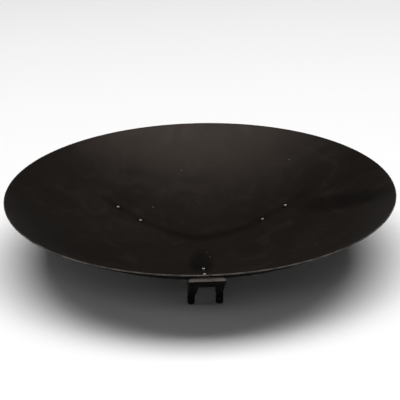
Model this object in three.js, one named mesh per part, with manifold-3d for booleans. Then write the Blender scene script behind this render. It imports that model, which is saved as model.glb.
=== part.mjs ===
// Shallow solid parabolic dish, face up on three forked strap legs bolted to its underside.
// Millimetres, +Z up. The origin is on the floor under the dish axis; the front leg points along -Y.
import * as THREE from 'three';
import { mergeVertices } from 'three/addons/utils/BufferGeometryUtils.js';
import Module from 'manifold-3d';

const wasm = await Module();
wasm.setup();

// Dish: a paraboloid of sheet steel with a plain rounded edge.
const MOUTH_RADIUS = 299;
const FOCAL_LENGTH = 228;
const SHEET = 2;
const BELLY_CLEARANCE = 8;

// Touching pieces keep this gap.
const FIT_GAP = 0.3;

// Legs: one pressing each, a strap under the dish that doubles back at the rim into a two-pronged fork.
// Distances named RUN are measured down the fork from the end of the fold.
// The rear legs stand where the photo's bolts are, a little off even spacing.
const LEG_AZIMUTHS = { front: 270, rear_right: 29, rear_left: 145 };
const STRAP_THICKNESS = 2;
const STRAP_START = 98;
const STRAP_END = 293;
const STRAP_HALF_WIDTH = 20;
const FOLD_RADIUS = 2.75;
const FORK_HALF_WIDTH = 26.2;
const PRONG_HALF_WIDTH = 25.3;
const BAR_RUN = 40;
const GAP_HALF_WIDTH_ROOT = 11.3;
const GAP_HALF_WIDTH_TIP = 15.3;

// The leg's sides are turned under: shallow round the fold, deep along the fork, flat at the prong ends.
const SHALLOW = { angle: THREE.MathUtils.degToRad(55), arc: 3.4, lip: 0.4 };
const DEEP = { angle: THREE.MathUtils.degToRad(80), arc: 5.2, lip: 5 };
const DEEPENING_RUN = [20, 38];
const FLATTENING_LENGTH = 28;
const FLAT_LENGTH = 2;

// Prong ends: a round shoulder and a narrow tongue.
const TONGUE_LENGTH = 12;
const TONGUE_HALF_WIDTH = 3;
const SHOULDER_LENGTH = 5;

// Foot caps: moulded bumpers on the prong ends, flat underneath.
const FOOT_RADIUS = 177;
const FOOT_OFFSET = 20.5;
const CAP_RADIUS = 5.5;
const CAP_HEIGHT = 13;
const CAP_EDGE_RADIUS = 3.5;
const CAP_CHAMFER = 1;
const SLOT_LENGTH = 40;
const TONGUE_HEIGHT = 9;
const TONGUE_REACH = 3;

// Fasteners: M6 dome-head bolt, washer and nut, two to a leg.
const BOLT_RADII = { inner: 116.4, outer: 161 };
const SHANK_RADIUS = 3;
const HOLE_RADIUS = 3.3;
const HEAD_RADIUS = 5.25;
const HEAD_HEIGHT = 3.3;
const WASHER_RADIUS = 6;
const WASHER_THICKNESS = 1.6;
const NUT_ACROSS_FLATS = 10;
const NUT_HEIGHT = 5;
const THREAD_PROUD = 2;

// How far a hole cutter reaches above and below the dish's inner surface.
const CUTTER_REACH = 20;

const DISH_SEGMENTS = 64;
const SMALL_SEGMENTS = 12;

const blackSteel = new THREE.MeshStandardMaterial({ color: 0x1c1815, roughness: 0.42, metalness: 0.2 });
const legSteel = new THREE.MeshStandardMaterial({ color: 0x141312, roughness: 0.5, metalness: 0.2 });
const fastenerSteel = new THREE.MeshStandardMaterial({ color: 0x3a3734, roughness: 0.3, metalness: 0.9 });
const capRubber = new THREE.MeshStandardMaterial({ color: 0x0d0d0d, roughness: 0.75, metalness: 0 });

function toSolid(geometry) {
  const bare = geometry.clone();
  bare.deleteAttribute('normal');
  bare.deleteAttribute('uv');
  const merged = mergeVertices(bare, 1e-3);
  const index = merged.index.array;
  const kept = [];
  for (let i = 0; i < index.length; i += 3) {
    const [a, b, c] = [index[i], index[i + 1], index[i + 2]];
    if (a !== b && b !== c && c !== a) {
      kept.push(a, b, c);
    }
  }
  return new wasm.Manifold(new wasm.Mesh({
    numProp: 3,
    vertProperties: new Float32Array(merged.attributes.position.array),
    triVerts: new Uint32Array(kept),
  }));
}

function toGeometry(solid) {
  const mesh = solid.getMesh();
  const geometry = new THREE.BufferGeometry();
  geometry.setAttribute('position', new THREE.BufferAttribute(new Float32Array(mesh.vertProperties), 3));
  geometry.setIndex(Array.from(mesh.triVerts));
  geometry.computeVertexNormals();
  return geometry;
}

// A solid of revolution about Z from [radius, height] pairs that start and end on the axis.
function turned(profile, segments) {
  const points = profile.map(([radius, height]) => new THREE.Vector2(radius, height));
  return new THREE.LatheGeometry(points, segments).rotateX(Math.PI / 2);
}

// A cylinder along Z from low to high.
function rod(radius, low, high, segments = SMALL_SEGMENTS) {
  return turned([[0, low], [radius, low], [radius, high], [0, high]], segments);
}

// The dish's inner surface at one radius: its height, its slope and its upward unit normal.
function dishAt(radius) {
  const slope = radius / (2 * FOCAL_LENGTH);
  const length = Math.hypot(1, slope);
  return {
    radius,
    height: BELLY_CLEARANCE + SHEET + radius * radius / (4 * FOCAL_LENGTH),
    up: new THREE.Vector2(-slope / length, 1 / length),
  };
}

// The point that lies depth below the inner surface, square to it.
function belowDish(radius, depth) {
  const { height, up } = dishAt(radius);
  return new THREE.Vector2(radius - up.x * depth, height - up.y * depth);
}

// The frame of a bolt: its origin on the inner surface and +Z along the surface's normal.
function boltFrame(radius) {
  const { height, up } = dishAt(radius);
  const tilt = new THREE.Matrix4().makeRotationY(Math.atan2(up.x, up.y));
  return new THREE.Matrix4().makeTranslation(radius, 0, height).multiply(tilt);
}

function turnAbout(azimuth) {
  return new THREE.Matrix4().makeRotationZ(THREE.MathUtils.degToRad(azimuth));
}

function boltHole(radius) {
  return rod(HOLE_RADIUS, -CUTTER_REACH, CUTTER_REACH).applyMatrix4(boltFrame(radius));
}

function makeDish() {
  const innerRings = 12;
  const outerRings = 10;
  const profile = [];
  for (let i = 0; i <= outerRings; i += 1) {
    const point = belowDish(MOUTH_RADIUS * i / outerRings, SHEET);
    profile.push([point.x, point.y]);
  }
  const lip = belowDish(MOUTH_RADIUS, SHEET / 2);
  const { up } = dishAt(MOUTH_RADIUS);
  const outward = new THREE.Vector2(up.y, -up.x);
  profile.push([lip.x + outward.x * SHEET / 2, lip.y + outward.y * SHEET / 2]);
  for (let i = innerRings; i >= 0; i -= 1) {
    const { radius, height } = dishAt(MOUTH_RADIUS * i / innerRings);
    profile.push([radius, height]);
  }
  let solid = toSolid(turned(profile, DISH_SEGMENTS));
  for (const azimuth of Object.values(LEG_AZIMUTHS)) {
    for (const radius of Object.values(BOLT_RADII)) {
      solid = solid.subtract(toSolid(boltHole(radius).applyMatrix4(turnAbout(azimuth))));
    }
  }
  return toGeometry(solid);
}

// The middle of the leg's sheet, seen from the side, as rows of { at, inward, run, widening }.
// inward points to the hollow side of the fold; widening goes from 0 on the strap to 1 on the fork.
function legRows() {
  const strapRows = 10;
  const foldRows = 8;
  const barRows = 6;
  const prongRows = 9;
  const shoulderRows = 4;
  const { lerp } = THREE.MathUtils;
  const depth = SHEET + FIT_GAP + STRAP_THICKNESS / 2;
  const rows = [];
  for (let i = 0; i <= strapRows; i += 1) {
    const radius = lerp(STRAP_START, STRAP_END, i / strapRows);
    rows.push({ at: belowDish(radius, depth), inward: dishAt(radius).up.negate(), run: 0, widening: 0 });
  }

  const last = rows[rows.length - 1];
  const centre = last.at.clone().addScaledVector(last.inward, FOLD_RADIUS);
  const tip = new THREE.Vector2(FOOT_RADIUS, TONGUE_HEIGHT);
  const reach = tip.clone().sub(centre);
  const heading = reach.angle() - Math.asin(FOLD_RADIUS / reach.length());
  const forward = new THREE.Vector2(Math.cos(heading), Math.sin(heading));
  const inward = new THREE.Vector2(forward.y, -forward.x);
  const startAngle = last.inward.clone().negate().angle();
  const endAngle = inward.clone().negate().angle() - 2 * Math.PI;
  for (let i = 1; i <= foldRows; i += 1) {
    const angle = lerp(startAngle, endAngle, i / foldRows);
    const outward = new THREE.Vector2(Math.cos(angle), Math.sin(angle));
    const at = centre.clone().addScaledVector(outward, FOLD_RADIUS);
    const widening = Math.sqrt(1 - (1 - i / foldRows) ** 2);
    rows.push({ at, inward: outward.negate(), run: 0, widening });
  }

  const foldEnd = rows[rows.length - 1].at;
  const length = foldEnd.distanceTo(tip) + TONGUE_REACH;
  const tongueRun = length - TONGUE_LENGTH;
  const shoulderRun = tongueRun - SHOULDER_LENGTH;
  const runs = [];
  for (let i = 1; i <= barRows; i += 1) {
    runs.push(BAR_RUN * i / barRows);
  }
  for (let i = 1; i <= prongRows; i += 1) {
    runs.push(lerp(BAR_RUN, shoulderRun, i / prongRows));
  }
  for (let i = 1; i <= shoulderRows; i += 1) {
    runs.push(lerp(shoulderRun, tongueRun, i / shoulderRows));
  }
  runs.push(length);
  for (const run of runs) {
    rows.push({ at: foldEnd.clone().addScaledVector(forward, run), inward, run, widening: 1 });
  }
  return { rows, tongueRun };
}

// The half section of the sheet at one row, from the prong's inner edge to the turned outer edge.
// Each point is { x, rise, lean }: across, towards the hollow side, and how far the sheet is turned.
function halfSection(row, tongueRun) {
  const { clamp, lerp, smoothstep } = THREE.MathUtils;
  const arcSteps = 3;
  const taper = smoothstep(row.run, BAR_RUN, tongueRun);
  const flatRun = tongueRun - FLAT_LENGTH;
  const kept = 1 - smoothstep(row.run, flatRun - FLATTENING_LENGTH, flatRun);
  const deepening = smoothstep(row.run, ...DEEPENING_RUN) * kept;
  const lean = lerp(SHALLOW.angle * row.widening * kept, DEEP.angle, deepening);
  const arc = lerp(SHALLOW.arc, DEEP.arc, deepening);
  const lip = lerp(SHALLOW.lip, DEEP.lip, deepening);
  const arcPoints = [];
  for (let i = 1; i <= arcSteps; i += 1) {
    const angle = lean * i / arcSteps;
    const chord = lean > 0 ? arc * 2 * Math.sin(angle / 2) / lean : arc * i / arcSteps;
    arcPoints.push({ x: chord * Math.cos(angle / 2), rise: chord * Math.sin(angle / 2), lean: angle });
  }
  const arcEnd = arcPoints[arcSteps - 1];
  const lipEnd = { x: arcEnd.x + lip * Math.cos(lean), rise: arcEnd.rise + lip * Math.sin(lean), lean };

  const wide = lerp(STRAP_HALF_WIDTH, FORK_HALF_WIDTH, row.widening);
  const halfWidth = lerp(wide, PRONG_HALF_WIDTH, taper);
  const flatEdge = halfWidth - lipEnd.x - Math.sin(lean) * STRAP_THICKNESS / 2;
  const gapEdge = lerp(GAP_HALF_WIDTH_ROOT, GAP_HALF_WIDTH_TIP, taper);
  const points = [{ x: gapEdge, rise: 0, lean: 0 }, { x: flatEdge, rise: 0, lean: 0 }];
  for (const point of [...arcPoints, lipEnd]) {
    points.push({ ...point, x: flatEdge + point.x });
  }

  const shoulder = clamp((row.run - tongueRun + SHOULDER_LENGTH) / SHOULDER_LENGTH, 0, 1);
  const narrowing = 1 - Math.sqrt(1 - shoulder * shoulder);
  for (const point of points) {
    const share = clamp((point.x - FOOT_OFFSET) / (PRONG_HALF_WIDTH - FOOT_OFFSET), -1, 1);
    point.x = lerp(point.x, FOOT_OFFSET + share * TONGUE_HALF_WIDTH, narrowing);
  }
  return points;
}

// One leg, its strap along +X under the dish: a sheet built as a grid of cells between two skins.
function makeLeg() {
  const { rows, tongueRun } = legRows();
  const vertices = [];
  const grid = rows.map((row) => {
    const half = halfSection(row, tongueRun);
    const mirrored = half.map((point) => ({ x: -point.x, rise: point.rise, lean: -point.lean })).reverse();
    return [...mirrored, ...half].map((point) => {
      const skins = [-STRAP_THICKNESS / 2, STRAP_THICKNESS / 2].map((offset) => {
        const across = point.x - Math.sin(point.lean) * offset;
        const rise = point.rise + Math.cos(point.lean) * offset;
        vertices.push(row.at.x + row.inward.x * rise, across, row.at.y + row.inward.y * rise);
        return vertices.length / 3 - 1;
      });
      return skins;
    });
  });
  const columns = grid[0].length - 1;
  const gapColumn = (columns - 1) / 2;
  const present = (i, j) => i >= 0 && i < rows.length - 1 && j >= 0 && j < columns
    && !(j === gapColumn && rows[i].run >= BAR_RUN - 1e-6);
  const triangles = [];
  const quad = (a, b, c, d) => triangles.push(a, b, c, a, c, d);
  for (let i = 0; i < rows.length - 1; i += 1) {
    for (let j = 0; j < columns; j += 1) {
      if (!present(i, j)) {
        continue;
      }
      const corners = [grid[i][j], grid[i + 1][j], grid[i + 1][j + 1], grid[i][j + 1]];
      quad(corners[0][0], corners[1][0], corners[2][0], corners[3][0]);
      quad(corners[3][1], corners[2][1], corners[1][1], corners[0][1]);
      const neighbours = [[i, j - 1], [i + 1, j], [i, j + 1], [i - 1, j]];
      neighbours.forEach(([ni, nj], side) => {
        if (!present(ni, nj)) {
          const from = corners[side];
          const to = corners[(side + 1) % 4];
          quad(to[0], from[0], from[1], to[1]);
        }
      });
    }
  }
  const geometry = new THREE.BufferGeometry();
  geometry.setAttribute('position', new THREE.Float32BufferAttribute(vertices, 3));
  geometry.setIndex(triangles);
  let solid = toSolid(geometry);
  for (const radius of Object.values(BOLT_RADII)) {
    solid = solid.subtract(toSolid(boltHole(radius)));
  }
  return toGeometry(solid);
}

// A dome-head bolt; its head sits just above the dish and its shank points down.
function makeBolt() {
  const nutEnd = SHEET + STRAP_THICKNESS + WASHER_THICKNESS + NUT_HEIGHT + 3 * FIT_GAP;
  const shankEnd = -(nutEnd + THREAD_PROUD);
  const crown = (HEAD_RADIUS ** 2 + HEAD_HEIGHT ** 2) / (2 * HEAD_HEIGHT);
  const profile = [[0, shankEnd], [SHANK_RADIUS, shankEnd], [SHANK_RADIUS, FIT_GAP], [HEAD_RADIUS, FIT_GAP]];
  const steps = 4;
  for (let i = 1; i <= steps; i += 1) {
    const radius = HEAD_RADIUS * (1 - i / steps);
    const height = Math.sqrt(crown ** 2 - radius ** 2) - (crown - HEAD_HEIGHT);
    profile.push([radius, FIT_GAP + height]);
  }
  return toGeometry(toSolid(turned(profile, SMALL_SEGMENTS)));
}

// A solid with the bolt's clearance hole through it.
function bored(solid) {
  return solid.subtract(toSolid(rod(HOLE_RADIUS, -CUTTER_REACH, CUTTER_REACH)));
}

function makeWasher() {
  const top = -(SHEET + STRAP_THICKNESS + 2 * FIT_GAP);
  return toGeometry(bored(toSolid(rod(WASHER_RADIUS, top - WASHER_THICKNESS, top))));
}

function makeNut() {
  const top = -(SHEET + STRAP_THICKNESS + WASHER_THICKNESS + 3 * FIT_GAP);
  const cornerRadius = NUT_ACROSS_FLATS / Math.sqrt(3);
  return toGeometry(bored(toSolid(rod(cornerRadius, top - NUT_HEIGHT, top, 6))));
}

// A bumper with a flat land, slotted along the prong's slope to take the tongue.
function makeFootCap(side) {
  const profile = [[0, 0], [CAP_RADIUS - CAP_EDGE_RADIUS, 0]];
  const steps = 3;
  for (let i = 1; i <= steps; i += 1) {
    const angle = (Math.PI / 2) * (i / steps);
    const radius = CAP_RADIUS - CAP_EDGE_RADIUS * (1 - Math.sin(angle));
    profile.push([radius, CAP_EDGE_RADIUS * (1 - Math.cos(angle))]);
  }
  profile.push([CAP_RADIUS, CAP_HEIGHT - CAP_CHAMFER]);
  profile.push([CAP_RADIUS - CAP_CHAMFER, CAP_HEIGHT]);
  profile.push([0, CAP_HEIGHT]);
  const cap = turned(profile, SMALL_SEGMENTS).translate(FOOT_RADIUS, side * FOOT_OFFSET, 0);
  const { rows } = legRows();
  const end = rows[rows.length - 1];
  const slope = Math.atan2(-end.inward.x, end.inward.y);
  const slot = new THREE.BoxGeometry(
    SLOT_LENGTH,
    2 * (TONGUE_HALF_WIDTH + FIT_GAP),
    STRAP_THICKNESS + 2 * FIT_GAP,
  );
  slot.translate(SLOT_LENGTH / 2 - FIT_GAP, 0, 0);
  slot.rotateY(-slope);
  slot.translate(end.at.x, side * FOOT_OFFSET, end.at.y);
  return toGeometry(toSolid(cap).subtract(toSolid(slot)));
}

const model = new THREE.Group();

function place(parent, name, geometry, material, matrix) {
  const mesh = new THREE.Mesh(geometry, material);
  mesh.name = name;
  if (matrix) {
    matrix.decompose(mesh.position, mesh.quaternion, mesh.scale);
  }
  parent.add(mesh);
}

place(model, 'dish_reflector', makeDish(), blackSteel);

const legGeometry = makeLeg();
const fastenerGeometries = { bolt: makeBolt(), washer: makeWasher(), nut: makeNut() };
for (const [legName, azimuth] of Object.entries(LEG_AZIMUTHS)) {
  const leg = new THREE.Group();
  leg.rotation.z = THREE.MathUtils.degToRad(azimuth);
  model.add(leg);
  place(leg, `leg_${legName}`, legGeometry, legSteel);
  for (const [end, radius] of Object.entries(BOLT_RADII)) {
    for (const [piece, geometry] of Object.entries(fastenerGeometries)) {
      place(leg, `${piece}_${legName}_${end}`, geometry, fastenerSteel, boltFrame(radius));
    }
  }
  place(leg, `foot_cap_${legName}_a`, makeFootCap(1), capRubber);
  place(leg, `foot_cap_${legName}_b`, makeFootCap(-1), capRubber);
}

export default model;
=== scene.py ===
"""Looks of the solid parabolic dish: a thin black sheet-steel dish on three forked strap legs.

Every piece is built in metres in the row frame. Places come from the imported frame; the named sizes
below are the object's own driving dimensions.
"""
import math

import bmesh
import bpy
import numpy as np
from mathutils import Matrix, Vector


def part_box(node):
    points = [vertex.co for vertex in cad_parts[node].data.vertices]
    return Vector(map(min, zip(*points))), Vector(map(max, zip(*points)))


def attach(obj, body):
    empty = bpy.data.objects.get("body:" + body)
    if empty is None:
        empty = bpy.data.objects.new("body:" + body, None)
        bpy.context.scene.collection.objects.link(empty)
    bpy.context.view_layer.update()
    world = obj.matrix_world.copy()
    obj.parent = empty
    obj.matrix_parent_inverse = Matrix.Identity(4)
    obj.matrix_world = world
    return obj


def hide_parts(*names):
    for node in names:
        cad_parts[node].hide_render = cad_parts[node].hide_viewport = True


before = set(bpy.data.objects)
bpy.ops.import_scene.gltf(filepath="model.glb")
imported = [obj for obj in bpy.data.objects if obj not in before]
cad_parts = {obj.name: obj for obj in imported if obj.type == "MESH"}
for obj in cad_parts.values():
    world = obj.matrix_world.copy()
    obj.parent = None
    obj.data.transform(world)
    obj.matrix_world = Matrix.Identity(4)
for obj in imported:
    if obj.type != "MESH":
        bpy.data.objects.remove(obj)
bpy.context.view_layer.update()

# ---------------------------------------------------------------- driving sizes, metres

DISH_LOW, DISH_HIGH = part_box("dish_reflector")
RIM_HEIGHT = DISH_HIGH.z
FOCAL_LENGTH = 0.228
MOUTH_RADIUS = 0.2987
SHEET = 0.002
FIT_GAP = 0.0003
FLOOR_OF_DISH = DISH_LOW.z + SHEET

# Legs. Distances named RUN are measured down the fork from the end of the fold.
STRAP_THICKNESS = 0.002
STRAP_START = 0.098
STRAP_END = 0.293
STRAP_HALF_WIDTH = 0.020
FOLD_RADIUS = 0.00275
FORK_HALF_WIDTH = 0.0262
PRONG_HALF_WIDTH = 0.0253
BAR_RUN = 0.040
GAP_HALF_ROOT = 0.0113
GAP_HALF_TIP = 0.0153
# The turned edges: their angle, the length of their bend, and the flat lip past it.
SHALLOW_ANGLE, SHALLOW_ARC, SHALLOW_LIP = math.radians(55), 0.0034, 0.0004
DEEP_ANGLE, DEEP_ARC, DEEP_LIP = math.radians(80), 0.0052, 0.005
DEEPENING_RUN = (0.020, 0.038)
FLATTENING_LENGTH = 0.028
FLAT_LENGTH = 0.002
TONGUE_LENGTH = 0.012
TONGUE_HALF_WIDTH = 0.003
TONGUE_HEIGHT = 0.009
TONGUE_REACH = 0.003
SHOULDER_LENGTH = 0.005
LEG_EDGE_RADIUS = 0.0006

FOOT_RADIUS = 0.177
FOOT_OFFSET = 0.0205
CAP_RADIUS = 0.0055
CAP_HEIGHT = 0.013
CAP_EDGE_RADIUS = 0.0035
CAP_SHOULDER_RADIUS = 0.0016
CAP_RIDGE = 0.00012

BOLT_RADII = {"inner": 0.1164, "outer": 0.161}
SHANK_RADIUS = 0.003
HEAD_RADIUS = 0.00525
HEAD_HEIGHT = 0.0033
WASHER_RADIUS = 0.006
WASHER_THICKNESS = 0.0016
NUT_HALF_FLATS = 0.005
NUT_HEIGHT = 0.005
THREAD_PROUD = 0.002
THREAD_PITCH = 0.001
THREAD_ROOT_SHARE = 0.86
HOLE_CLEARANCE = 0.0002

# Degrees about the dish axis. The rear legs stand where the photo's bolts are, off even spacing.
LEG_AZIMUTHS = {"front": 270.0, "rear_right": 29.0, "rear_left": 145.0}


# ---------------------------------------------------------------- mesh helpers

def smoothstep(value, low, high):
    t = np.clip((value - low) / (high - low), 0.0, 1.0)
    return t * t * (3 - 2 * t)


def make_object(name, vertices, faces):
    """A smooth-shaded object with merged vertices and outward normals."""
    mesh = bpy.data.meshes.new(name)
    mesh.from_pydata([tuple(map(float, v)) for v in vertices], [], faces)
    work = bmesh.new()
    work.from_mesh(mesh)
    bmesh.ops.remove_doubles(work, verts=work.verts, dist=1e-7)
    bmesh.ops.recalc_face_normals(work, faces=work.faces)
    work.to_mesh(mesh)
    work.free()
    mesh.polygons.foreach_set("use_smooth", [True] * len(mesh.polygons))
    mesh.update()
    obj = bpy.data.objects.new(name, mesh)
    bpy.context.scene.collection.objects.link(obj)
    return obj


def lathe(name, profile, segments):
    """A solid of revolution about Z from (radius, height) pairs that start and end on the axis."""
    vertices = []
    rings = []
    for radius, height in profile:
        if radius < 1e-9:
            rings.append([len(vertices)])
            vertices.append((0.0, 0.0, height))
            continue
        ring = []
        for k in range(segments):
            angle = 2 * math.pi * k / segments
            ring.append(len(vertices))
            vertices.append((radius * math.cos(angle), radius * math.sin(angle), height))
        rings.append(ring)
    faces = []
    for a, b in zip(rings, rings[1:]):
        for k in range(segments):
            n = (k + 1) % segments
            if len(a) == 1:
                faces.append((a[0], b[n], b[k]))
            elif len(b) == 1:
                faces.append((a[k], a[n], b[0]))
            else:
                faces.append((a[k], a[n], b[n], b[k]))
    return make_object(name, vertices, faces)


def arc(centre, radius, start, end, steps):
    """Points of a circular arc in the (radius, height) plane, angles in degrees."""
    angles = np.radians(np.linspace(start, end, steps + 1))
    return [(centre[0] + radius * math.cos(a), centre[1] + radius * math.sin(a)) for a in angles]


def bevel(obj, width, segments, angle):
    """Rounds the edges that turn by more than angle degrees."""
    modifier = obj.modifiers.new("edge", "BEVEL")
    modifier.width = width
    modifier.segments = segments
    modifier.limit_method = "ANGLE"
    modifier.angle_limit = math.radians(angle)


def apply_modifiers(obj):
    """Bakes the modifiers into the mesh."""
    graph = bpy.context.evaluated_depsgraph_get()
    mesh = bpy.data.meshes.new_from_object(obj.evaluated_get(graph))
    obj.modifiers.clear()
    obj.data = mesh
    mesh.polygons.foreach_set("use_smooth", [True] * len(mesh.polygons))


def finish_piece(obj, node, material):
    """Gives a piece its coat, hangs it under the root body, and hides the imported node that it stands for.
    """
    obj.data.materials.clear()
    obj.data.materials.append(material)
    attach(obj, "root")
    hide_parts(node)
    return obj


# ---------------------------------------------------------------- the dish's surface

def dish_height(radius):
    """Height of the inner surface."""
    return FLOOR_OF_DISH + radius * radius / (4 * FOCAL_LENGTH)


def dish_up(radius):
    """Upward unit normal of the inner surface, as (radial, vertical)."""
    slope = radius / (2 * FOCAL_LENGTH)
    length = math.hypot(1.0, slope)
    return np.array((-slope / length, 1.0 / length))


def below_dish(radius, depth):
    """The point that lies depth below the inner surface, square to it, as (radial, vertical)."""
    return np.array((radius, dish_height(radius))) - dish_up(radius) * depth


# The sheet's slight relief over the straps: drawn down along them, lifted beside them, dimpled at the bolts.
PULL_DEPTH = 0.0001
PULL_WIDTH = 0.012
LIFT_HEIGHT = 0.0006
LIFT_WIDTH = 0.010
DIMPLE_DEPTH = 0.00013
DIMPLE_WIDTH = 0.009
RELIEF_STARTS = (0.05, 0.10)
RELIEF_ENDS = (0.17, 0.235)


def pressed_relief(x, y):
    """How far the sheet stands off the true paraboloid where the bolts draw it onto the flat straps."""
    total = np.zeros_like(x)
    for azimuth in LEG_AZIMUTHS.values():
        a = math.radians(azimuth)
        along = x * math.cos(a) + y * math.sin(a)
        across = -x * math.sin(a) + y * math.cos(a)
        window = smoothstep(along, *RELIEF_STARTS) * (1 - smoothstep(along, *RELIEF_ENDS))
        pull = -PULL_DEPTH * np.exp(-(across / PULL_WIDTH) ** 2)
        lift = LIFT_HEIGHT * np.exp(-((np.abs(across) - STRAP_HALF_WIDTH) / LIFT_WIDTH) ** 2)
        total += window * (pull + lift)
        for radius in BOLT_RADII.values():
            distance = np.hypot(along - radius, across)
            total -= DIMPLE_DEPTH * np.exp(-(distance / DIMPLE_WIDTH) ** 2)
    return total


def make_dish():
    """One closed shell: underside from the middle out, round lip, inside back to the middle."""
    segments = 240
    rings = 88
    lip_steps = 8
    profile = []
    for i in range(rings + 1):
        profile.append(below_dish(MOUTH_RADIUS * i / rings, SHEET))
    lip = below_dish(MOUTH_RADIUS, SHEET / 2)
    up = dish_up(MOUTH_RADIUS)
    start = math.degrees(math.atan2(-up[1], -up[0]))
    for point in arc(lip, SHEET / 2, start, start + 180, lip_steps)[1:-1]:
        profile.append(np.array(point))
    for i in range(rings, -1, -1):
        profile.append(below_dish(MOUTH_RADIUS * i / rings, 0.0))
    shell = lathe("dish_shell", [(max(0.0, float(r)), float(z)) for r, z in profile], segments)
    count = len(shell.data.vertices)
    points = np.empty(count * 3)
    shell.data.vertices.foreach_get("co", points)
    points = points.reshape(-1, 3)
    points[:, 2] += pressed_relief(points[:, 0], points[:, 1])
    shell.data.vertices.foreach_set("co", points.ravel())
    shell.data.update()
    return shell


def coat_underside(dish_object, material):
    """Gives the faces of the outer skin, as far as the lip, their own coat."""
    mesh = dish_object.data
    mesh.materials.append(material)
    for polygon in mesh.polygons:
        centre, normal = polygon.center, polygon.normal
        outward = normal.x * centre.x + normal.y * centre.y
        if normal.z < -0.5 and outward >= 0:
            polygon.material_index = 1


# ---------------------------------------------------------------- the legs

def leg_rows():
    """The middle of the leg's sheet seen from the side, and the run at which its tongue starts.

    Each row is (point, inward normal, run past the fold, widening).
    """
    depth = SHEET + FIT_GAP + STRAP_THICKNESS / 2
    rows = []
    for radius in np.linspace(STRAP_START, STRAP_END, 44):
        rows.append((below_dish(radius, depth), -dish_up(radius), 0.0, 0.0))
    point, inward, _, _ = rows[-1]
    centre = point + inward * FOLD_RADIUS
    tip = np.array((FOOT_RADIUS, TONGUE_HEIGHT))
    reach = tip - centre
    heading = math.atan2(reach[1], reach[0]) - math.asin(FOLD_RADIUS / np.hypot(*reach))
    forward = np.array((math.cos(heading), math.sin(heading)))
    normal = np.array((forward[1], -forward[0]))
    start = math.atan2(-inward[1], -inward[0])
    end = math.atan2(-normal[1], -normal[0])
    steps = 24
    for i in range(1, steps + 1):
        angle = start + (end - start) * i / steps
        outward = np.array((math.cos(angle), math.sin(angle)))
        widening = math.sqrt(1 - (1 - i / steps) ** 2)
        rows.append((centre + outward * FOLD_RADIUS, -outward, 0.0, widening))
    fold_end = rows[-1][0]
    length = float(np.hypot(*(tip - fold_end))) + TONGUE_REACH
    tongue = length - TONGUE_LENGTH
    shoulder = tongue - SHOULDER_LENGTH
    runs = list(np.linspace(0, BAR_RUN, 17)[1:])
    runs += list(np.linspace(BAR_RUN, shoulder, 33)[1:])
    runs += list(shoulder + SHOULDER_LENGTH * np.sin(np.linspace(0, math.pi / 2, 9))[1:])
    runs.append(length)
    for run in runs:
        rows.append((fold_end + forward * run, normal, float(run), 1.0))
    return rows, tongue


def half_section(run, widening, tongue):
    """Half of the sheet's section at one row: (across, rise to the hollow side, lean) points."""
    taper = smoothstep(run, BAR_RUN, tongue)
    flat_run = tongue - FLAT_LENGTH
    kept = 1 - smoothstep(run, flat_run - FLATTENING_LENGTH, flat_run)
    deepening = smoothstep(run, *DEEPENING_RUN) * kept
    lean = SHALLOW_ANGLE * widening * kept
    lean += (DEEP_ANGLE - lean) * deepening
    bend = SHALLOW_ARC + (DEEP_ARC - SHALLOW_ARC) * deepening
    lip = SHALLOW_LIP + (DEEP_LIP - SHALLOW_LIP) * deepening
    turned = []
    steps = 8
    for i in range(1, steps + 1):
        angle = lean * i / steps
        chord = bend * 2 * math.sin(angle / 2) / lean if lean > 1e-6 else bend * i / steps
        turned.append((chord * math.cos(angle / 2), chord * math.sin(angle / 2), angle))
    end = turned[-1]
    for share in (0.5, 1.0):
        turned.append((end[0] + lip * share * math.cos(lean), end[1] + lip * share * math.sin(lean), lean))
    half_width = STRAP_HALF_WIDTH + (FORK_HALF_WIDTH - STRAP_HALF_WIDTH) * widening
    half_width += (PRONG_HALF_WIDTH - half_width) * taper
    flat_edge = half_width - turned[-1][0] - math.sin(lean) * STRAP_THICKNESS / 2
    gap_edge = GAP_HALF_ROOT + (GAP_HALF_TIP - GAP_HALF_ROOT) * taper
    points = [(x, 0.0, 0.0) for x in np.linspace(gap_edge, flat_edge, 5)]
    points += [(flat_edge + across, rise, angle) for across, rise, angle in turned]
    shoulder = min(1.0, max(0.0, (run - tongue + SHOULDER_LENGTH) / SHOULDER_LENGTH))
    narrowing = 1 - math.sqrt(1 - shoulder * shoulder)
    shaped = []
    for x, rise, angle in points:
        side = (x - FOOT_OFFSET) / (PRONG_HALF_WIDTH - FOOT_OFFSET)
        inset = FOOT_OFFSET + max(-1.0, min(1.0, side)) * TONGUE_HALF_WIDTH
        shaped.append((x + (inset - x) * narrowing, rise, angle))
    return shaped


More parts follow.
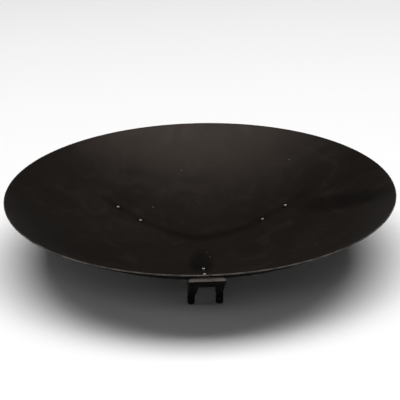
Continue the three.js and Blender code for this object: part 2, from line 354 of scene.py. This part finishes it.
def make_leg(name):
    """The pressing, its strap along +X: a grid of cells with a skin on either side."""
    rows, tongue = leg_rows()
    vertices = []
    grid = []
    gap_cells = 6
    for point, inward, run, widening in rows:
        half = half_section(run, widening, tongue)
        mirrored = [(-x, rise, -lean) for x, rise, lean in reversed(half)]
        middle = [(x, 0.0, 0.0) for x in np.linspace(-half[0][0], half[0][0], gap_cells + 1)[1:-1]]
        line = []
        for x, rise, lean in mirrored + middle + half:
            pair = []
            for offset in (-STRAP_THICKNESS / 2, STRAP_THICKNESS / 2):
                across = x - math.sin(lean) * offset
                height = rise + math.cos(lean) * offset
                pair.append(len(vertices))
                vertices.append((point[0] + inward[0] * height, across, point[1] + inward[1] * height))
            line.append(pair)
        grid.append(line)
    columns = len(grid[0]) - 1
    low = (columns - gap_cells) // 2
    gap = range(low, low + gap_cells)

    def present(i, j):
        inside = 0 <= i < len(rows) - 1 and 0 <= j < columns
        return inside and not (j in gap and rows[i][2] >= BAR_RUN - 1e-9)

    faces = []
    for i in range(len(rows) - 1):
        for j in range(columns):
            if not present(i, j):
                continue
            corners = (grid[i][j], grid[i + 1][j], grid[i + 1][j + 1], grid[i][j + 1])
            faces.append(tuple(c[0] for c in corners))
            faces.append(tuple(c[1] for c in reversed(corners)))
            for side, (ni, nj) in enumerate(((i, j - 1), (i + 1, j), (i, j + 1), (i - 1, j))):
                if not present(ni, nj):
                    a, b = corners[side], corners[(side + 1) % 4]
                    faces.append((b[0], a[0], a[1], b[1]))
    leg = make_object(name, vertices, faces)
    bevel(leg, LEG_EDGE_RADIUS, segments=3, angle=50)
    apply_modifiers(leg)
    return leg


def leg_matrix(azimuth):
    """Turns a leg that was built along +X to its place."""
    return Matrix.Rotation(math.radians(azimuth), 4, "Z")


def bolt_matrix(azimuth, radius):
    """The bolt's frame: origin on the dish's inside, +Z along its normal."""
    up = dish_up(radius)
    tilt = Matrix.Rotation(math.atan2(up[0], up[1]), 4, "Y")
    return leg_matrix(azimuth) @ Matrix.Translation((radius, 0, dish_height(radius))) @ tilt


# ---------------------------------------------------------------- fasteners and caps

def make_bolt(name):
    """Dome head with a rolled edge, plain shank, and ridged thread at the end."""
    stack = SHEET + STRAP_THICKNESS + WASHER_THICKNESS + NUT_HEIGHT + 3 * FIT_GAP
    end = -(stack + THREAD_PROUD)
    chamfer = 0.0004
    root = SHANK_RADIUS * THREAD_ROOT_SHARE
    profile = [(0.0, end), (root * 0.82, end), (root, end + chamfer)]
    height = end + chamfer
    while height < end + THREAD_PROUD + NUT_HEIGHT:
        profile.append((SHANK_RADIUS, height + THREAD_PITCH * 0.45))
        profile.append((SHANK_RADIUS, height + THREAD_PITCH * 0.55))
        profile.append((root, height + THREAD_PITCH))
        height += THREAD_PITCH
    profile.append((SHANK_RADIUS, height + THREAD_PITCH / 2))
    seat = FIT_GAP * 0.2
    rolled = 0.0004
    profile += [(SHANK_RADIUS, seat), (HEAD_RADIUS - 0.0003, seat)]
    profile += arc((HEAD_RADIUS - rolled, seat + rolled), rolled, -90, 20, 5)[1:]
    crown = (HEAD_RADIUS ** 2 + HEAD_HEIGHT ** 2) / (2 * HEAD_HEIGHT)
    base = seat + 0.0005
    for share in np.linspace(0.985, 0.0, 14):
        radius = HEAD_RADIUS * share
        dome = math.sqrt(crown ** 2 - radius ** 2) - (crown - HEAD_HEIGHT)
        profile.append((radius, base + dome * 0.9))
    return lathe(name, profile, 40)


def ring_solid(name, sections):
    """A closed ring from equal-length sections of (radius, height) points, spread evenly round Z."""
    segments = len(sections)
    count = len(sections[0])
    vertices = []
    faces = []
    for k, section in enumerate(sections):
        angle = 2 * math.pi * k / segments
        vertices += [(r * math.cos(angle), r * math.sin(angle), z) for r, z in section]
        n = (k + 1) % segments
        for i in range(count):
            m = (i + 1) % count
            faces.append((k * count + i, n * count + i, n * count + m, k * count + m))
    return make_object(name, vertices, faces)


def make_washer(name):
    """A stamped ring with a rolled top edge and a sharper lower one."""
    top = -(SHEET + STRAP_THICKNESS + 2 * FIT_GAP)
    low = top - WASHER_THICKNESS
    hole = SHANK_RADIUS + HOLE_CLEARANCE
    chamfer = 0.0001
    rolled = 0.00035
    burr = 0.0002
    section = [(hole, low), (WASHER_RADIUS - chamfer, low), (WASHER_RADIUS, low + chamfer)]
    section += arc((WASHER_RADIUS - rolled, top - rolled), rolled, 0, 90, 4)
    section += [(hole + burr, top), (hole, top - burr)]
    return ring_solid(name, [section] * 48)


def make_nut(name):
    """A hexagon nut whose corners are cut back by a 30 degree cone top and bottom."""
    top = -(SHEET + STRAP_THICKNESS + WASHER_THICKNESS + 3 * FIT_GAP)
    low = top - NUT_HEIGHT
    hole = SHANK_RADIUS + HOLE_CLEARANCE
    countersink = 0.0004
    land = NUT_HALF_FLATS * 0.95
    segments = 72
    sections = []
    for k in range(segments):
        angle = 2 * math.pi * k / segments
        hexagon = NUT_HALF_FLATS / math.cos((angle + math.pi / 6) % (math.pi / 3) - math.pi / 6)
        cut = (hexagon - land) * math.tan(math.radians(30))
        sections.append([
            (hole, low + countersink), (hole + countersink, low), (land, low), (hexagon, low + cut),
            (hexagon, top - cut), (land, top), (hole + countersink, top), (hole, top - countersink),
        ])
    nut = ring_solid(name, sections)
    bevel(nut, 0.00018, segments=2, angle=25)
    apply_modifiers(nut)
    return nut


def make_cap(name, side):
    """A moulded bumper: flat land, round lower edge, a fine parting ridge and a soft shoulder."""
    wall = CAP_RADIUS - CAP_RIDGE
    middle = CAP_HEIGHT * 0.55
    ridge_half = 0.0002
    land = CAP_RADIUS - CAP_EDGE_RADIUS
    profile = [(0.0, 0.0), (land, 0.0)]
    profile += arc((land, CAP_EDGE_RADIUS), CAP_EDGE_RADIUS - CAP_RIDGE, -90, 0, 8)[1:]
    profile += [(wall, middle - ridge_half), (CAP_RADIUS, middle), (wall, middle + ridge_half)]
    shoulder = (wall - CAP_SHOULDER_RADIUS, CAP_HEIGHT - CAP_SHOULDER_RADIUS)
    profile += arc(shoulder, CAP_SHOULDER_RADIUS, 0, 90, 6)
    profile.append((0.0, CAP_HEIGHT))
    cap = lathe(name, profile, 40)
    cap.data.transform(Matrix.Translation((FOOT_RADIUS, side * FOOT_OFFSET, 0)))
    return cap


# ---------------------------------------------------------------- materials

# Patches on the dish, seen from above: (centre, azimuth, half length, half width). The front one is painted
# shade along the front strap, the side one a darker band on the right, the third an area of wiping marks.
FRONT_STRAP_SHADE = ((-0.003, -0.090), 90.0, 0.085, 0.025)
SIDE_DARK_BAND = ((0.222, 0.026), -38.0, 0.115, 0.030)
WIPED_AREA = ((-0.060, 0.200), 0.0, 0.190, 0.075)

# Painted shade along the curve over the rear straps, and painted shadow round the bolt heads.
SHADE_HALF_WIDTH = 0.019
SHADE_OFF_CENTRE = 0.024
SHADE_ENDS = (0.215, 0.180)
BOLT_SHADOW_WIDTH = 0.004

# Colours, linear. Those in pairs are the two ends of a patchy coat.
DISH_COAT_COLOURS = (0.0064, 0.0053, 0.0044), (0.0088, 0.0073, 0.0061)
SMUDGE_COLOUR = (0.0145, 0.0120, 0.0104)
STREAK_COLOUR = (0.0180, 0.0150, 0.0130)
# Painted shade; the darker band on the right takes the same colour.
SHADE_COLOUR = (0.0012, 0.0010, 0.0008)
DUST_COLOUR = (0.16, 0.145, 0.13)
WORN_LIP_COLOUR = (0.085, 0.078, 0.072)
WARM_SHEEN = (1.0, 0.78, 0.66, 1.0)
# The underside's black, darkened further as painted shade.
UNDERSIDE_COAT_AND_SHADE_COLOURS = (0.0012, 0.0011, 0.0010), (0.0030, 0.0027, 0.0024)
# The legs' black, darkened further as painted shade on their down-turned faces.
LEG_COAT_AND_SHADE_COLOURS = (0.0004, 0.0004, 0.0004), (0.0014, 0.0012, 0.0011)
# A painted highlight on the legs' turned edges.
EDGE_HIGHLIGHT_COLOUR = (0.0150, 0.0136, 0.0126)
# A painted highlight on the fold under the rim.
FOLD_HIGHLIGHT_COLOUR = (0.150, 0.130, 0.118)
FASTENER_COLOURS = (0.048, 0.041, 0.036), (0.082, 0.072, 0.064)
RUBBER_COLOURS = (0.007, 0.007, 0.007), (0.014, 0.0135, 0.013)

# How strongly each coat mirrors light, against the usual 0.5.
DISH_SPECULAR = 0.14
UNDERSIDE_SPECULAR = 0.03
LEG_SPECULAR = 0.015
RUBBER_SPECULAR = 0.1

# Where the legs carry painted highlights: heights on the fold, radii on it, and distances from the middle of
# the fork.
FOLD_HIGHLIGHT_HEIGHTS = (0.0975, 0.0989)
FOLD_HIGHLIGHT_RADII = (0.292, 0.295)
FOLD_HIGHLIGHT_CORNER = (0.0256, 0.0222)
EDGE_HIGHLIGHT_ACROSS = (0.0232, 0.0252)


class Nodes:
    """A small builder for procedural materials around one Principled shader."""

    def __init__(self, name):
        self.material = bpy.data.materials.new(name)
        self.material.use_nodes = True
        self.tree = self.material.node_tree
        self.shader = self.tree.nodes["Principled BSDF"]
        self.place = self.add("ShaderNodeTexCoord").outputs["Object"]

    def add(self, kind, **settings):
        node = self.tree.nodes.new(kind)
        for key, value in settings.items():
            setattr(node, key, value)
        return node

    def link(self, source, target):
        self.tree.links.new(source, target)

    def feed(self, socket, value):
        """Links another node's output, or sets a plain number."""
        if hasattr(value, "links"):
            self.link(value, socket)
        else:
            socket.default_value = value

    def noise(self, scale, detail=4.0, roughness=0.5, distortion=0.0):
        node = self.add("ShaderNodeTexNoise")
        node.inputs["Scale"].default_value = scale
        node.inputs["Detail"].default_value = detail
        node.inputs["Roughness"].default_value = roughness
        node.inputs["Distortion"].default_value = distortion
        self.link(self.place, node.inputs["Vector"])
        return node.outputs["Fac"]

    def specks(self, scale, size):
        """One where a sparse round speck lies, zero elsewhere."""
        node = self.add("ShaderNodeTexVoronoi")
        node.inputs["Scale"].default_value = scale
        self.link(self.place, node.inputs["Vector"])
        return self.ramp(node.outputs["Distance"], size, size * 0.6)

    def ramp(self, value, low, high, out_low=0.0, out_high=1.0):
        """Eases from out_low to out_high as value goes from low to high."""
        node = self.add("ShaderNodeMapRange", interpolation_type="SMOOTHSTEP")
        self.feed(node.inputs["Value"], value)
        node.inputs["From Min"].default_value = low
        node.inputs["From Max"].default_value = high
        node.inputs["To Min"].default_value = out_low
        node.inputs["To Max"].default_value = out_high
        return node.outputs["Result"]

    def math(self, operation, a, b=0.0):
        node = self.add("ShaderNodeMath", operation=operation)
        self.feed(node.inputs[0], a)
        self.feed(node.inputs[1], b)
        return node.outputs[0]

    def mix(self, factor, a, b):
        node = self.add("ShaderNodeMix", data_type="RGBA")
        self.feed(node.inputs["Factor"], factor)
        for socket, value in ((node.inputs[6], a), (node.inputs[7], b)):
            if hasattr(value, "links"):
                self.link(value, socket)
            else:
                socket.default_value = (*value, 1.0)
        return node.outputs[2]

    def axes(self):
        """The X, Y and Z of the shaded point, in metres."""
        split = self.add("ShaderNodeSeparateXYZ")
        self.link(self.place, split.inputs[0])
        return [split.outputs[axis] for axis in "XYZ"]

    def hypot(self, a, b):
        squares = [self.math("MULTIPLY", side, side) for side in (a, b)]
        return self.math("SQRT", self.math("ADD", *squares))

    def radius(self):
        """Distance from the dish axis."""
        x, y, _ = self.axes()
        return self.hypot(x, y)

    def turned(self, azimuth, along_offset=0.0, across_offset=0.0):
        """Coordinates along and across a line at azimuth degrees, from a point on it."""
        x, y, _ = self.axes()
        a = math.radians(azimuth)
        along = (math.cos(a), math.sin(a), along_offset)
        across = (-math.sin(a), math.cos(a), across_offset)
        pair = []
        for cosine, sine, offset in (along, across):
            mixed = self.math("ADD", self.math("MULTIPLY", x, cosine), self.math("MULTIPLY", y, sine))
            pair.append(self.math("SUBTRACT", mixed, offset))
        return pair

    def patch(self, centre, azimuth, half_length, half_width, soft=0.35):
        """One inside a soft-edged ellipse on the dish, seen from above."""
        a = math.radians(azimuth)
        along_offset = centre[0] * math.cos(a) + centre[1] * math.sin(a)
        across_offset = -centre[0] * math.sin(a) + centre[1] * math.cos(a)
        along, across = self.turned(azimuth, along_offset, across_offset)
        reach = self.hypot(self.math("DIVIDE", along, half_length), self.math("DIVIDE", across, half_width))
        return self.ramp(reach, 1.0, soft)

    def rear_shade(self, half_width):
        """One along the curve that runs down one rear strap, across the bottom and up the other, where shade
        is painted.
        """
        x, y, _ = self.axes()
        left_slope = -math.tan(math.radians(LEG_AZIMUTHS["rear_left"]))
        right_slope = math.tan(math.radians(LEG_AZIMUTHS["rear_right"]))
        slope = self.ramp(x, -0.01, 0.01, left_slope, right_slope)
        across_bottom = self.hypot(self.math("MULTIPLY", x, slope), SHADE_OFF_CENTRE)
        away = self.math("ABSOLUTE", self.math("SUBTRACT", y, across_bottom))
        reach = self.ramp(self.radius(), *SHADE_ENDS)
        return self.math("MULTIPLY", self.ramp(away, half_width, 0.0), reach)

    def bolt_shadow_rings(self):
        """One in the painted shadow round each bolt head."""
        total = None
        for azimuth in LEG_AZIMUTHS.values():
            for radius in BOLT_RADII.values():
                distance = self.hypot(*self.turned(azimuth, radius))
                ring = self.ramp(distance, HEAD_RADIUS + BOLT_SHADOW_WIDTH, HEAD_RADIUS + 0.0005)
                total = ring if total is None else self.math("MAXIMUM", total, ring)
        return total

    def off_nearest_leg(self):
        """Distance from the middle line of the nearest leg."""
        nearest = None
        for azimuth in LEG_AZIMUTHS.values():
            along, across = self.turned(azimuth)
            other_side = self.ramp(along, 0.0, -0.01)
            away = self.math("ADD", self.math("ABSOLUTE", across), other_side)
            nearest = away if nearest is None else self.math("MINIMUM", nearest, away)
        return nearest

    def bump(self, height, strength, distance):
        """Feeds a height to the shader's normal."""
        node = self.add("ShaderNodeBump")
        node.inputs["Strength"].default_value = strength
        node.inputs["Distance"].default_value = distance
        self.link(height, node.inputs["Height"])
        self.link(node.outputs["Normal"], self.shader.inputs["Normal"])


def dish_material():
    """Satin black coating with a warm cast: wiping marks, handling smudges, dust, and wear on the lip, with
    painted shade along the straps and round the bolts and a darker band on the right.
    """
    n = Nodes("dish_coat")
    broad = n.noise(5.0, 3.0, 0.55, 0.6)
    smudge = n.noise(16.0, 6.0, 0.6, 1.2)
    wiped = n.noise(7.0, 5.0, 0.62, 2.6)
    grain = n.noise(900.0, 2.0, 0.5)
    # Masks for painted shade along the rear straps, the front strap and round the bolt heads, then the
    # darker band on the right.
    shade = n.math("MAXIMUM", n.rear_shade(SHADE_HALF_WIDTH), n.patch(*FRONT_STRAP_SHADE))
    shade = n.math("MAXIMUM", shade, n.bolt_shadow_rings())
    side_band = n.math("MULTIPLY", n.patch(*SIDE_DARK_BAND), n.ramp(smudge, 0.34, 0.52, 0.25, 1.0))
    shade = n.math("MAXIMUM", shade, side_band)
    base = n.mix(n.ramp(broad, 0.35, 0.7), *DISH_COAT_COLOURS)
    base = n.mix(n.math("MULTIPLY", n.ramp(smudge, 0.52, 0.74), 0.45), base, SMUDGE_COLOUR)
    streak = n.math("MULTIPLY", n.ramp(wiped, 0.50, 0.56), n.ramp(wiped, 0.62, 0.57))
    streak = n.math("MULTIPLY", streak, n.patch(*WIPED_AREA))
    base = n.mix(n.math("MULTIPLY", streak, 0.30), base, STREAK_COLOUR)
    base = n.mix(n.math("MULTIPLY", shade, 0.92), base, SHADE_COLOUR)
    dust = n.math("MULTIPLY", n.specks(30.0, 0.032), n.ramp(n.noise(7.0, 1.0), 0.46, 0.54))
    base = n.mix(dust, base, DUST_COLOUR)
    lip = n.ramp(n.radius(), MOUTH_RADIUS - 0.0004, MOUTH_RADIUS + 0.0006)
    worn = n.math("MULTIPLY", lip, n.ramp(n.noise(60.0, 5.0, 0.6), 0.40, 0.62, 0.35, 0.95))
    base = n.mix(worn, base, WORN_LIP_COLOUR)
    n.link(base, n.shader.inputs["Base Color"])
    rough = n.ramp(smudge, 0.3, 0.75, 0.33, 0.47)
    rough = n.math("ADD", rough, n.math("MULTIPLY", shade, 0.12))
    n.link(rough, n.shader.inputs["Roughness"])
    n.shader.inputs["Specular IOR Level"].default_value = DISH_SPECULAR
    n.shader.inputs["Specular Tint"].default_value = WARM_SHEEN
    n.bump(n.math("ADD", n.math("MULTIPLY", grain, 0.4), n.math("MULTIPLY", broad, 0.6)), 0.25, 0.0002)
    return n.material


def underside_material():
    """The same black on the dish's back, left dull and dry, its colour darkened as painted shade."""
    n = Nodes("dish_back")
    broad = n.noise(9.0, 5.0, 0.6, 0.8)
    n.link(n.mix(n.ramp(broad, 0.35, 0.7), *UNDERSIDE_COAT_AND_SHADE_COLOURS), n.shader.inputs["Base Color"])
    n.link(n.ramp(broad, 0.3, 0.7, 0.62, 0.78), n.shader.inputs["Roughness"])
    n.shader.inputs["Specular IOR Level"].default_value = UNDERSIDE_SPECULAR
    n.bump(n.noise(700.0, 2.0), 0.3, 0.0002)
    return n.material


def leg_material():
    """Satin black coating on the pressed straps, darkened as painted shade, with a painted highlight on the
    fold under the rim and along the turned edges.
    """
    n = Nodes("leg_coat")
    broad = n.noise(22.0, 4.0, 0.55, 0.5)
    grain = n.noise(1100.0, 2.0, 0.5)
    base = n.mix(n.ramp(broad, 0.35, 0.7), *LEG_COAT_AND_SHADE_COLOURS)
    on_fold = n.math(
        "MULTIPLY",
        n.ramp(n.axes()[2], *FOLD_HIGHLIGHT_HEIGHTS),
        n.ramp(n.radius(), *FOLD_HIGHLIGHT_RADII),
    )
    across = n.off_nearest_leg()
    corner = n.ramp(across, *FOLD_HIGHLIGHT_CORNER, 0.25, 1.0)
    patchy = n.ramp(n.noise(90.0, 4.0, 0.6), 0.30, 0.60, 0.6, 1.0)
    # Patchy painted highlight on the fold under the rim.
    fold_highlight = n.math("MULTIPLY", n.math("MULTIPLY", on_fold, corner), patchy)
    # Painted highlight along the turned edges of the legs.
    edge_highlight = n.ramp(across, *EDGE_HIGHLIGHT_ACROSS)
    base = n.mix(n.math("MULTIPLY", edge_highlight, 0.8), base, EDGE_HIGHLIGHT_COLOUR)
    base = n.mix(fold_highlight, base, FOLD_HIGHLIGHT_COLOUR)
    n.link(base, n.shader.inputs["Base Color"])
    n.link(n.ramp(broad, 0.3, 0.7, 0.42, 0.56), n.shader.inputs["Roughness"])
    n.shader.inputs["Specular IOR Level"].default_value = LEG_SPECULAR
    n.bump(grain, 0.25, 0.0002)
    return n.material


def fastener_material():
    """Blackened steel, glossy enough for its domes to catch the light."""
    n = Nodes("fastener")
    patch = n.noise(420.0, 4.0, 0.6)
    n.link(n.mix(n.ramp(patch, 0.35, 0.65), *FASTENER_COLOURS), n.shader.inputs["Base Color"])
    n.shader.inputs["Metallic"].default_value = 1.0
    n.link(n.ramp(patch, 0.3, 0.7, 0.12, 0.18), n.shader.inputs["Roughness"])
    n.bump(n.noise(2600.0, 2.0), 0.06, 0.0001)
    return n.material


def rubber_material():
    """Matt moulded rubber with a bloom."""
    n = Nodes("cap_rubber")
    patch = n.noise(160.0, 4.0, 0.6)
    n.link(n.mix(n.ramp(patch, 0.35, 0.7), *RUBBER_COLOURS), n.shader.inputs["Base Color"])
    n.link(n.ramp(patch, 0.3, 0.7, 0.55, 0.72), n.shader.inputs["Roughness"])
    n.shader.inputs["Specular IOR Level"].default_value = RUBBER_SPECULAR
    n.bump(n.noise(1800.0, 2.0), 0.3, 0.0002)
    return n.material


# ---------------------------------------------------------------- the studio

FLOOR_RADIUS = 14.0
FLOOR_GREY = 0.88

# Soft boxes: name, place, what it is aimed at, (width, depth) in metres, watts.
LIGHTS = (
    ("overhead", (0.25, -0.1, 5.0), (0.25, -0.1, 0), (6.6, 3.2), 340),
    ("front", (-0.3, -2.6, 2.2), (0, 0, 0.1), (1.6, 1.0), 8),
    ("side_left", (-3.0, 0.2, 1.0), (0, 0, 0.1), (1.6, 1.2), 6),
    ("side_right", (3.0, -0.4, 0.9), (0, 0, 0.1), (1.6, 1.0), 5),
)

# The studio's own glow near the horizon and above, and the rises between which it fades.
HORIZON_GLOW = 0.30
ZENITH_GLOW = 0.06
GLOW_FADE = (0.04, 0.18)


def make_floor():
    """A plain pale floor, wide enough to run past the edges of the view."""
    bpy.ops.mesh.primitive_circle_add(vertices=96, radius=FLOOR_RADIUS, fill_type="NGON")
    floor = bpy.context.object
    floor.name = "studio_floor"
    n = Nodes("studio_floor")
    n.shader.inputs["Base Color"].default_value = (FLOOR_GREY, FLOOR_GREY, FLOOR_GREY, 1.0)
    n.shader.inputs["Roughness"].default_value = 0.9
    n.shader.inputs["Specular IOR Level"].default_value = 0.05
    floor.data.materials.append(n.material)


def area_light(name, place, target, size, power):
    """A rectangular soft box aimed at a point."""
    data = bpy.data.lights.new(name, "AREA")
    data.shape = "RECTANGLE"
    data.size, data.size_y = size
    data.energy = power
    light = bpy.data.objects.new(name, data)
    light.location = place
    light.rotation_mode = "QUATERNION"
    light.rotation_quaternion = (Vector(target) - Vector(place)).to_track_quat("-Z", "Y")
    bpy.context.scene.collection.objects.link(light)


def make_world():
    """A plain studio whose soft light is strongest near the horizon, so that it reaches under the dish."""
    world = bpy.data.worlds.new("studio")
    world.use_nodes = True
    tree = world.node_tree
    background = tree.nodes["Background"]
    background.inputs["Color"].default_value = (1.0, 0.99, 0.98, 1.0)
    split = tree.nodes.new("ShaderNodeSeparateXYZ")
    tree.links.new(tree.nodes.new("ShaderNodeTexCoord").outputs["Generated"], split.inputs[0])
    fade = tree.nodes.new("ShaderNodeMapRange")
    fade.interpolation_type = "SMOOTHSTEP"
    fade.inputs["From Min"].default_value, fade.inputs["From Max"].default_value = GLOW_FADE
    fade.inputs["To Min"].default_value = HORIZON_GLOW
    fade.inputs["To Max"].default_value = ZENITH_GLOW
    tree.links.new(split.outputs["Z"], fade.inputs["Value"])
    tree.links.new(fade.outputs["Result"], background.inputs["Strength"])
    bpy.context.scene.world = world


# The camera stands where the fit to the photo puts it: metres, degrees, and millimetres of lens.
CAMERA_DISTANCE = 1.758
CAMERA_ELEVATION = 22.5
CAMERA_SWING = 1.45
CAMERA_ROLL = 1.2
CAMERA_LENS = 102.3
AIM_DROP = 0.0217


def make_camera():
    """The lens looks over the front leg and down into the dish, turned a touch about its own axis."""
    data = bpy.data.cameras.new("camera")
    data.lens = CAMERA_LENS
    data.sensor_width = 36.0
    camera = bpy.data.objects.new("camera", data)
    bpy.context.scene.collection.objects.link(camera)
    swing = math.radians(CAMERA_SWING)
    rise = math.radians(CAMERA_ELEVATION)
    back = Vector((-math.sin(swing) * math.cos(rise), -math.cos(swing) * math.cos(rise), math.sin(rise)))
    rim_centre = Vector((0, 0, RIM_HEIGHT))
    camera.location = rim_centre + back * CAMERA_DISTANCE
    aim = rim_centre - Vector((0, 0, AIM_DROP)) - camera.location
    camera.rotation_mode = "QUATERNION"
    roll = Matrix.Rotation(math.radians(-CAMERA_ROLL), 4, "Z").to_quaternion()
    camera.rotation_quaternion = aim.to_track_quat("-Z", "Y") @ roll
    bpy.context.scene.camera = camera


# ---------------------------------------------------------------- building

bpy.context.scene.view_settings.view_transform = "Standard"
bpy.context.scene.view_settings.look = "None"

DISH_COAT = dish_material()
UNDERSIDE = underside_material()
LEG_COAT = leg_material()
FASTENER = fastener_material()
CAP_RUBBER = rubber_material()

dish = finish_piece(make_dish(), "dish_reflector", DISH_COAT)
coat_underside(dish, UNDERSIDE)

for leg_name, leg_azimuth in LEG_AZIMUTHS.items():
    turn_leg = leg_matrix(leg_azimuth)
    pressing = make_leg(f"forked_strap_{leg_name}")
    pressing.data.transform(turn_leg)
    finish_piece(pressing, f"leg_{leg_name}", LEG_COAT)
    for end_name, bolt_radius in BOLT_RADII.items():
        at_bolt = bolt_matrix(leg_azimuth, bolt_radius)
        for piece_name, maker in (("bolt", make_bolt), ("washer", make_washer), ("nut", make_nut)):
            made = maker(f"fine_{piece_name}_{leg_name}_{end_name}")
            made.data.transform(at_bolt)
            finish_piece(made, f"{piece_name}_{leg_name}_{end_name}", FASTENER)
    for letter, cap_side in (("a", 1), ("b", -1)):
        bumper = make_cap(f"bumper_{leg_name}_{letter}", cap_side)
        bumper.data.transform(turn_leg)
        finish_piece(bumper, f"foot_cap_{leg_name}_{letter}", CAP_RUBBER)

make_floor()
make_world()
for light_settings in LIGHTS:
    area_light(*light_settings)
make_camera()
